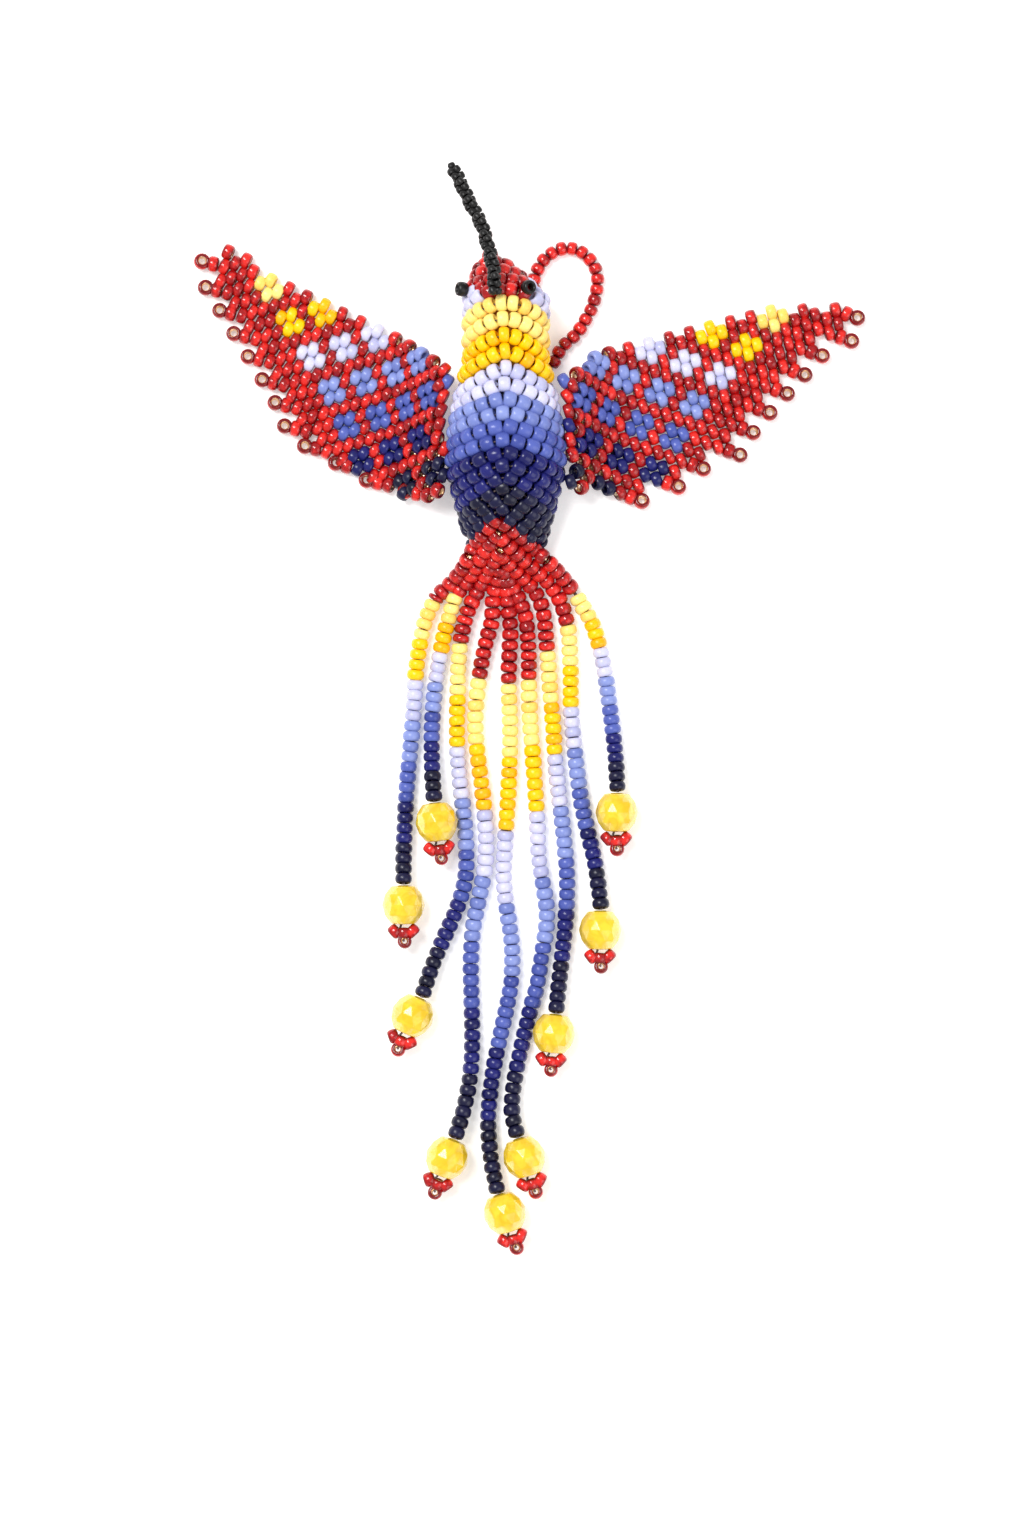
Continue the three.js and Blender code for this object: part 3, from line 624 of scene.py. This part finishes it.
def on_body(y, angle, inset=1.08):
    """A place on the body's tube, its angle in radians from straight up towards +X."""
    r = half_width(y) - inset
    lean = max(0, y - HEAD_Y) * -HEAD_LEAN
    if y > HEAD_Y:
        r *= max(0.02, 1 - (y - HEAD_Y) / (6.6 - inset * 0.3)) ** 0.75
    z = r * roundness(y) * math.cos(angle) + axis_z(y)
    return np.array([r * math.sin(angle) + lean, y, max(z, SEED_BEAD / MM / 2)])


# How far a ring of beads dips at the sides: a steady slope, and a bend that grows round the tube
DIP_Y = [-11.4, -7.2, -3, 0, 4.3, 9.4, 12, 19]
DIP_SLOPE = [4.0, 3.3, 2.3, 1.8, 1.8, 2.7, 2.2, 0.3]
DIP_BEND = [1.0, 1.5, 1.0, 0.8, 0.8, 1.6, 1.2, 2.8]


def dipped(y, angle):
    """Where a ring that crosses the middle at y has got to, this far round the tube."""
    s, c = abs(math.sin(angle)), math.cos(angle)
    under = min(1, max(0, -c / 0.8))
    slope = np.interp(y, DIP_Y, DIP_SLOPE) * (math.sqrt(s * s + 0.01) - 0.1)
    bend = np.interp(y, DIP_Y, DIP_BEND) * (1 - abs(c))
    return y - (slope + bend) * (1 - 0.65 * under)


# Each row: where it crosses the middle, how many beads go round, its turn in beads, and its colour
BODY_ROWS = [
    (18.75, 20, -0.36, "cream"), (16.5, 20, -0.26, "cream"),
    (14.2, 21, -0.15, "orange"), (11.9, 21, -0.05, "orange"),
    (9.5, 22, 0.0, "white"), (7.2, 22, -0.1, "white"),
    (5.1, 22, 0.3, "light"), (3.1, 22, -0.2, "light"),
    (1.2, 22, 0.3, "blue"), (-0.7, 22, -0.2, "blue"),
    (-2.5, 22, 0.3, "navy"), (-4.2, 22, -0.2, "navy"), (-5.8, 22, 0.3, "navy"),
    (-7.2, 21, -0.2, "black_navy"), (-8.6, 21, 0.3, "black_navy"), (-10.0, 20, -0.2, "black_navy"),
    (-11.4, 20, 0.3, "black_navy"), (-12.7, 19, -0.2, "black_navy"), (-14.0, 18, 0.3, "black_navy"),
    (-15.2, 17, -0.2, "black_navy"),
]
BAND_NODES = {"cream": "throat_band", "orange": "neck_band", "white": "breast_band",
              "light": "upper_belly_band", "blue": "belly_band", "navy": "lower_belly_band",
              "black_navy": "rump_band"}
WEDGE_TIP_Y, WEDGE_MIDDLE_X = -11.4, -0.8


def in_wedge(place):
    """True on the upper side of the rump, where the red rows of the tail begin."""
    x, y, z = place
    return z > axis_z(y) * 0.9 and y < WEDGE_TIP_Y - 0.62 * abs(x - WEDGE_MIDDLE_X) ** 1.08


bands = {colour: ([], [], []) for colour in BAND_NODES}
row_lines = []
for row_y, count, turn, colour in BODY_ROWS:
    line = []
    for k in range(count):
        ring = lambda a: on_body(dipped(row_y, a), a)
        angle = (k + turn) * math.tau / count
        place = ring(angle)
        line.append(place)
        if place[1] < RUMP_Y + RUMP_MARGIN or in_wedge(place):
            continue
        bands[colour][0].append(place * MM)
        bands[colour][1].append(ring(angle + 0.06) - ring(angle - 0.06))
        room = np.linalg.norm(ring(angle + math.pi / count) - ring(angle - math.pi / count))
        bands[colour][2].append(min(2.0, 0.95 * room) * MM)
    row_lines.append(line)
for colour, (middles, ways, lengths) in bands.items():
    band = bead_work(BAND_NODES[colour] + "_beads", middles, ways, colour, diameter=2.4 * MM,
                     length=np.array(lengths), hole=0.6 * MM)
    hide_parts(BAND_NODES[colour])
    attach(band, "bird")


STITCH_STEP = 0.0006
STITCH_SIDES = 6


def stitch(name, lines, thickness):
    """Threads through closed rings of beads, as one piece."""
    points, faces = [], []
    sides = STITCH_SIDES
    for line in lines:
        ring = smooth_run([*(p * MM for p in line), line[0] * MM], STITCH_STEP)[:-1]
        start, count = len(points), len(ring)
        for k, p in enumerate(ring):
            way = Vector(ring[(k + 1) % count] - ring[k - 1]).normalized()
            side = way.cross(Vector((0, 1, 0.01))).normalized()
            up = way.cross(side)
            for a in range(sides):
                turn = a * math.tau / sides
                points.append(Vector(p) + (side * math.cos(turn) + up * math.sin(turn)) * thickness / 2)
        for k in range(count):
            for a in range(sides):
                n, b = (k + 1) % count, (a + 1) % sides
                faces.append((start + k * sides + a, start + k * sides + b,
                              start + n * sides + b, start + n * sides + a))
    mesh = bpy.data.meshes.new(name)
    mesh.from_pydata([tuple(p) for p in points], [], faces)
    mesh.materials.append(THREAD_FINISH)
    mesh.polygons.foreach_set("use_smooth", np.ones(len(faces), bool))
    made = bpy.data.objects.new(name, mesh)
    bpy.context.scene.collection.objects.link(made)
    return made


whole_rings = [line for line in row_lines if min(p[1] for p in line) > RUMP_Y]
body_thread = stitch("body_thread", whole_rings, 0.24 * MM)
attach(body_thread, "bird")


# --- Head ----------------------------------------------------------------------------------------
# The cap of the tube: rings that close over the end of the core, red along the crown and white on
# the cheeks, with one round black bead for each eye.
CROWN_HALF_WIDTH = 3.4 + 0.3  # to the middle of the first cheek beads
TOP_BEAD = (-2.25, 25.9, 6.4)
EYE_DEGREES = {"left": 155, "right": 55}  # up from +X
EYE_SINK = 0.4
head = {"crown": ([], []), "cheek_left": ([], []), "cheek_right": ([], [])}
# Each ring: where it crosses the middle, its beads, its turn in beads, how far it dips, and how far
# round to the sides it has to be before it has beads at all
HEAD_RINGS = [(20.6, 18, -0.35, 3.0, 0), (21.4, 17, 0.15, 1.9, 0.6), (22.1, 15, 0.1, 0.8, 0),
              (23.5, 11, -0.3, 0.8, 0), (24.75, 7, 0.2, 0.8, 0)]
for row_y, count, turn, dip, side in HEAD_RINGS:
    for k in range(count):
        ring = lambda a: on_body(row_y - dip * (1 - abs(math.cos(a))), a)
        angle = (k + turn) * math.tau / count
        if abs(math.sin(angle)) < side:
            continue
        place = ring(angle)
        off = place[0] + max(0, place[1] - HEAD_Y) * HEAD_LEAN
        if abs(off) < CROWN_HALF_WIDTH:
            node = "crown"
        else:
            node = "cheek_left" if off < 0 else "cheek_right"
        head[node][0].append(place * MM)
        head[node][1].append(ring(angle + 0.06) - ring(angle - 0.06))
head["crown"][0].append(np.array(TOP_BEAD) * MM)
head["crown"][1].append(np.array([0.3, 0.5, 1.0]))
for node, (middles, ways) in head.items():
    colour = "red" if node == "crown" else "white"
    cap = bead_work(node + "_beads", middles, ways, colour, diameter=2.3 * MM, length=1.85 * MM,
                    hole=0.6 * MM)
    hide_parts(node)
    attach(cap, "bird")
for side, degrees in EYE_DEGREES.items():
    out = np.array([math.cos(math.radians(degrees)), 0, math.sin(math.radians(degrees))])
    low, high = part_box(f"eye_{side}")
    middle = np.array((low + high) / 2) - out * EYE_SINK * MM
    eye = bead_work(f"eye_bead_{side}", [middle], [out], "black", diameter=2.1 * MM)
    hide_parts(f"eye_{side}")
    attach(eye, "bird")


# --- Beak ----------------------------------------------------------------------------------------
# A rope of small black beads, three round, twisted as it is sewn, and fixed at the throat.
NECK_TOP_Z = 12.03
BEAK = [(-1.6, 19.7, 0.95), (-1.6, 22.2, 0.9), (-2.1, 25.0, -0.1), (-2.8, 27.8, -1.4), (-3.6, 30.3, -2.4),
        (-4.9, 32.8, -3.2), (-5.9, 34.9, -3.8), (-6.7, 36.7, -4.3), (-7.6, 38.4, -4.8)]
ROPE_STEP, ROPE_RADIUS, ROPE_TURN = 0.98 * MM, 0.5 * MM, math.radians(38)
beak_run = smooth_run([(x * MM, y * MM, (z + NECK_TOP_Z) * MM) for x, y, z in BEAK])
steps = np.arange(0.5 * ROPE_STEP, run_length(beak_run), ROPE_STEP)
centres, ways = on_run(beak_run, steps)
rope_middles, rope_ways = [], []
for k, (centre, way) in enumerate(zip(centres, ways)):
    side = np.cross(way, [0, 0, 1.0])
    side /= np.linalg.norm(side)
    over = np.cross(side, way)
    for strand in range(3):
        a = k * ROPE_TURN + strand * math.tau / 3
        out = side * math.cos(a) + over * math.sin(a)
        round_ = -side * math.sin(a) + over * math.cos(a)
        rope_middles.append(centre + out * ROPE_RADIUS)
        rope_ways.append(way + round_ * 0.35)
rope_middles.append(centres[-1] + ways[-1] * ROPE_STEP * 0.9)
rope_ways.append(np.cross(ways[-1], [0.3, 0, 1.0]))
beak = bead_work("beak_rope", rope_middles, rope_ways, "black", diameter=1.2 * MM, length=0.98 * MM,
                 hole=0.4 * MM)
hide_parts("beak")
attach(beak, "beak")


# --- Wings ---------------------------------------------------------------------------------------
# Flat panels of red beads woven half a bead over in each column, with four-bead diamonds in
# diagonal lines of colour. A turning bead at the end of every second slanting row makes the
# ragged edge.
WINGS = {
    "right": {
        "down": (0.71, -2.2), "over": (1.31, 0.5), "first": (21.96, 7.01), "fan": (0.9, -0.72),
        "spread": 0, "finger": (1.5, -0.55),
        "motifs": {-3: [1], -2: [0, 1], -1: [-1, 0, 1], 0: [-2, -1, 0, 1], 1: [-3, -2, -1, 0, 1],
                   2: [-2, -1, 0, 1], 3: [-1, 0]},
        "outline": [(7.9, 8.4), (9.7, 10.6), (13.9, 12.9), (20.6, 15.1), (27.7, 16.7), (34.9, 18.1),
                    (42, 19.1), (49.8, 19.4), (51.0, 16.8), (47.0, 13.5), (42, 9.7), (37.5, 5), (33.2, -1),
                    (27.7, -4.6), (22, -7.1), (17, -9), (13.5, -8.1), (7.9, -7.2)],
    },
    "left": {
        "down": (-0.69, -2.1), "over": (-1.19, 0.61), "first": (-20.2, 8.4), "fan": (-0.5, -0.03),
        "spread": -0.5, "finger": (-1.55, 0.35),
        "motifs": {-3: [1], -2: [0, 1], -1: [-1, 0, 1], 0: [-2, -1, 0, 1], 1: [-3, -2, -1, 0, 1],
                   2: [-1, 0, 1], 3: [-1, 0]},
        "outline": [(-7.9, 8.8), (-9.2, 11.7), (-13.7, 14.3), (-19.4, 17.4), (-26.5, 21.1),
                    (-33.7, 24.6), (-41.4, 28.6), (-43.3, 24.3), (-42, 19.7), (-39.4, 15), (-34.8, 8.6),
                    (-30.8, 1.7), (-25.8, -2.6), (-22.3, -4.6), (-17.3, -7.1), (-13, -9.1), (-7.9, -8)],
    },
}
LINE_COLOURS = {-3: "cream", -2: "orange", -1: "white", 0: "light", 1: "blue", 2: "navy", 3: "black_navy"}
MOTIF = [(0, 0.5), (0, -0.5), (1, 0), (-1, 0)]  # columns over, beads down
# A wing comes down from its root to the table
ROOT_X, WING_REACH, ROOT_RISE, WING_FLAT_Z = 9.7, 9, 5.2, 1.24
DRAWN_X = 15  # nearer the middle than this, the weave is drawn in towards the root
EDGE_MARGIN = 0.45
SCALLOP = 1.2  # how far a coloured patch may stand over the upper edge
LOOK_AHEAD, FINGER_STEP = 1.25, 1.04  # in lengths of a finger's bead
BODY_CLEAR, FINGER_CLEAR = 0.1, 1.6


def wing_height(x):
    """How high the beads' middles lie, this far from the middle of the body."""
    t = min(1, max(0, (abs(x) - ROOT_X) / WING_REACH))
    return WING_FLAT_Z + ROOT_RISE * (1 - t) ** 2


def inside(outline, x, y, margin):
    """True if a point lies in an outline, and at least the margin from its edge."""
    held, near = False, 1e9
    for (x0, y0), (x1, y1) in zip(outline, outline[1:] + outline[:1]):
        if (y0 > y) != (y1 > y) and x < (x1 - x0) * (y - y0) / (y1 - y0) + x0:
            held = not held
        dx, dy = x1 - x0, y1 - y0
        t = min(1, max(0, ((x - x0) * dx + (y - y0) * dy) / (dx * dx + dy * dy)))
        near = min(near, math.hypot(x - x0 - t * dx, y - y0 - t * dy))
    return held and near >= margin


def wing_place(wing, column, row):
    """Where the bead of a column and row lies, with the weave drawn in towards the root."""
    (dx, dy), (ox, oy), (fx, fy) = wing["down"], wing["over"], wing["first"]
    x = fx + column * ox + row * dx
    y = fy + column * oy + row * dy
    line = row / 3 - column / 6
    if line < 0:
        x -= line * wing["fan"][0]
        y -= line * wing["fan"][1]
    else:
        x += line * wing["spread"]
    side = math.copysign(1, fx)
    far = x * side
    if far < DRAWN_X:
        upper = min(1, max(0, (y + 2) / 7))
        y += 0.08 * (DRAWN_X - far) * (1 - upper)
        far = DRAWN_X - (DRAWN_X - far) * (0.92 - 0.22 * upper)
    return np.array([far * side, y, wing_height(far)])


for side, wing in WINGS.items():
    work, motif_beads, ends = {}, {}, {}
    outline = wing["outline"]
    for line, columns in wing["motifs"].items():
        for a in columns:
            for over, down in MOTIF:
                motif_beads[(3 * (a - line) + over, 1.5 * (a + line) + down)] = LINE_COLOURS[line]
    finger = np.array([*wing["finger"], 0])
    for column in range(-24, 34):
        for count in range(-16, 20):
            row = count + (0.5 if column % 2 == 0 else 0)
            place = wing_place(wing, column, row)
            x, y = place[:2]
            ahead = place[:2] + finger[:2] * LOOK_AHEAD
            colour = motif_beads.get((column, row), "red")
            within = inside(outline, x, y, EDGE_MARGIN) and inside(outline, *ahead, 0)
            # A coloured patch stays whole at the upper edge, where it makes a scallop.
            scallop = colour != "red" and inside(outline, x, y - SCALLOP, 0)
            if abs(x) < half_width(y) + BODY_CLEAR or not (within or scallop):
                continue
            middles, ways = work.setdefault(colour, ([], []))
            middles.append(place * MM)
            ways.append(wing_place(wing, column + 0.3, row) - wing_place(wing, column - 0.3, row))
            diagonal = math.floor(row - column / 2)
            if column > ends.get(diagonal, (-99,))[0]:
                ends[diagonal] = (column, place)
    # Every second slanting row goes on by two beads, the last of them turned to show its hole.
    for diagonal, (column, place) in ends.items():
        for more in (1, 2):
            tip = place + finger * more * FINGER_STEP
            if diagonal % 2 or abs(tip[0]) < half_width(tip[1]) + FINGER_CLEAR:
                continue
            tip[2] = wing_height(tip[0])
            work["red"][0].append(tip * MM)
            work["red"][1].append(finger if more == 1 else np.array([0.1, 0.1, 1.0]))
    for colour, (middles, ways) in work.items():
        panel = bead_work(f"wing_{side}_{colour}", middles, ways, colour, diameter=2.3 * MM,
                          length=1.46 * MM)
        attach(panel, f"wing_{side}")
        if colour == "red":
            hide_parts(f"wing_{side}")


# --- Tail ----------------------------------------------------------------------------------------
# Rows of red beads that leave the middle line of the rump like the veins of a leaf. The first ones
# are sewn to the body, the rest make a panel that lifts, and each row goes on into a fringe string.
RUMP_EDGE_Y, PANEL_FLAT_Y = -16.6, -22
PANEL_START_Y = -16.45  # above it a bead is sewn to the body, below it the bead lifts
TAIL_FLAT_Z = 1.27
TAIL_PITCH = 1.58 * MM
TAIL_ROWS = {
    "a": [(-1.0, -11.2), (-1.9, -12.2), (-3.2, -13.6), (-4.4, -15.2), (-5.3, -17.0), (-6.5, -18.9),
          (-8.0, -20.6), (-9.8, -22.2)],
    "b": [(-0.95, -13.5), (-1.7, -14.4), (-2.9, -15.9), (-3.9, -17.5), (-4.9, -19.2), (-6.0, -20.8),
          (-7.2, -22.0)],
    "c": [(-0.8, -15.9), (-1.4, -16.9), (-2.4, -18.4), (-3.3, -20.2), (-4.3, -22.1), (-5.2, -23.8)],
    "d": [(-0.75, -17.9), (-1.1, -19.4), (-1.6, -21.4), (-1.9, -23.4), (-1.9, -25.6)],
    "e": [(-0.35, -19.4), (0.1, -21.9), (0.4, -24.2), (0.7, -27.0)],
    "f": [(-0.5, -18.4), (0.2, -19.6), (1.2, -21.3), (2.2, -23.4), (2.9, -25.4), (3.1, -27.4)],
    "g": [(-0.75, -16.3), (-0.1, -17.1), (1.2, -18.4), (2.8, -20.0), (4.3, -21.8), (5.2, -23.8),
          (5.6, -25.8)],
    "h": [(-0.95, -13.8), (-0.4, -14.4), (0.8, -15.6), (2.6, -17.2), (4.4, -18.7), (6.2, -20.5),
          (7.7, -22.7), (8.5, -24.9)],
    "i": [(-0.7, -11.8), (1.2, -13.3), (2.8, -14.6), (4.4, -16.0), (6.0, -17.4), (7.5, -18.9), (9.7, -21.5)],
}


def tail_height(x, y):
    """How high a tail bead's middle lies: over the rump, then down to the table."""
    rump_top = 5.86
    if y > RUMP_EDGE_Y:
        r = half_width(y) - 1.05
        return r * roundness(y) * math.sqrt(max(0.12, 1 - (x / r) ** 2)) + axis_z(y)
    t = min(1, (RUMP_EDGE_Y - y) / (RUMP_EDGE_Y - PANEL_FLAT_Y))
    return TAIL_FLAT_Z + (rump_top - 1.0 - TAIL_FLAT_Z) * (1 - t) ** 1.5


tail = {"tail_root": ([], []), "tail_panel": ([], [])}
for key, points in TAIL_ROWS.items():
    run = smooth_run([(x * MM, y * MM, tail_height(x, y) * MM) for x, y in points])
    count = round(run_length(run) / TAIL_PITCH)
    middles, ways = on_run(run, (np.arange(count) + 0.5) * run_length(run) / count)
    for middle, way in zip(middles, ways):
        node = "tail_root" if middle[1] > PANEL_START_Y * MM else "tail_panel"
        middle[2] = tail_height(middle[0] / MM, middle[1] / MM) * MM
        tail[node][0].append(middle)
        tail[node][1].append(way)
for node, body in (("tail_root", "bird"), ("tail_panel", "tail")):
    panel = bead_work(node + "_beads", *tail[node], "red", diameter=2.4 * MM, length=1.62 * MM,
                      hole=0.5 * MM)
    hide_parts(node)
    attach(panel, body)


# --- Table and light -----------------------------------------------------------------------------
# A plain white table under broad, soft light from above.
def table_finish():
    """A matt white table top that glows a little, so that it stays white."""
    made = bpy.data.materials.new("white_table")
    made.use_nodes = True
    nodes, link = made.node_tree.nodes, made.node_tree.links.new
    surface = nodes["Principled BSDF"]
    grain = nodes.new("ShaderNodeTexNoise")
    grain.inputs["Scale"].default_value = 60
    tone = nodes.new("ShaderNodeValToRGB")
    tone.color_ramp.elements[0].color = rgb(246, 245, 244)
    tone.color_ramp.elements[1].color = rgb(250, 249, 248)
    link(grain.outputs["Fac"], tone.inputs["Fac"])
    link(tone.outputs["Color"], surface.inputs["Base Color"])
    surface.inputs["Roughness"].default_value = 0.8
    surface.inputs["Emission Color"].default_value = (1, 1, 1, 1)
    surface.inputs["Emission Strength"].default_value = 0.3
    return made


table_mesh = bpy.data.meshes.new("table")
TABLE_HALF = 2
table_mesh.from_pydata([(x * TABLE_HALF, y * TABLE_HALF, 0) for x, y in [(-1, -1), (1, -1), (1, 1), (-1, 1)]],
                       [], [(0, 1, 2, 3)])
table_mesh.materials.append(table_finish())
table = bpy.data.objects.new("table", table_mesh)
bpy.context.scene.collection.objects.link(table)


def lamp(name, place, aim, width, depth, power):
    """A rectangular lamp at a place, turned to what it lights."""
    data = bpy.data.lights.new(name, "AREA")
    data.shape = "RECTANGLE"
    data.size, data.size_y = width, depth
    data.energy = power
    made = bpy.data.objects.new(name, data)
    made.location = place
    made.rotation_euler = (Vector(aim) - Vector(place)).to_track_quat("-Z", "Y").to_euler()
    bpy.context.scene.collection.objects.link(made)


lamp("key", (-0.35, 0.3, 0.9), (0, -0.03, 0), 0.3, 0.5, 9)
lamp("fill", (0.7, -0.5, 0.8), (0, -0.03, 0), 0.9, 0.9, 5)
world = bpy.data.worlds.new("studio")
world.use_nodes = True
world.node_tree.nodes["Background"].inputs["Color"].default_value = (1, 1, 1, 1)
world.node_tree.nodes["Background"].inputs["Strength"].default_value = 0.58
bpy.context.scene.world = world
bpy.context.scene.view_settings.view_transform = "Standard"
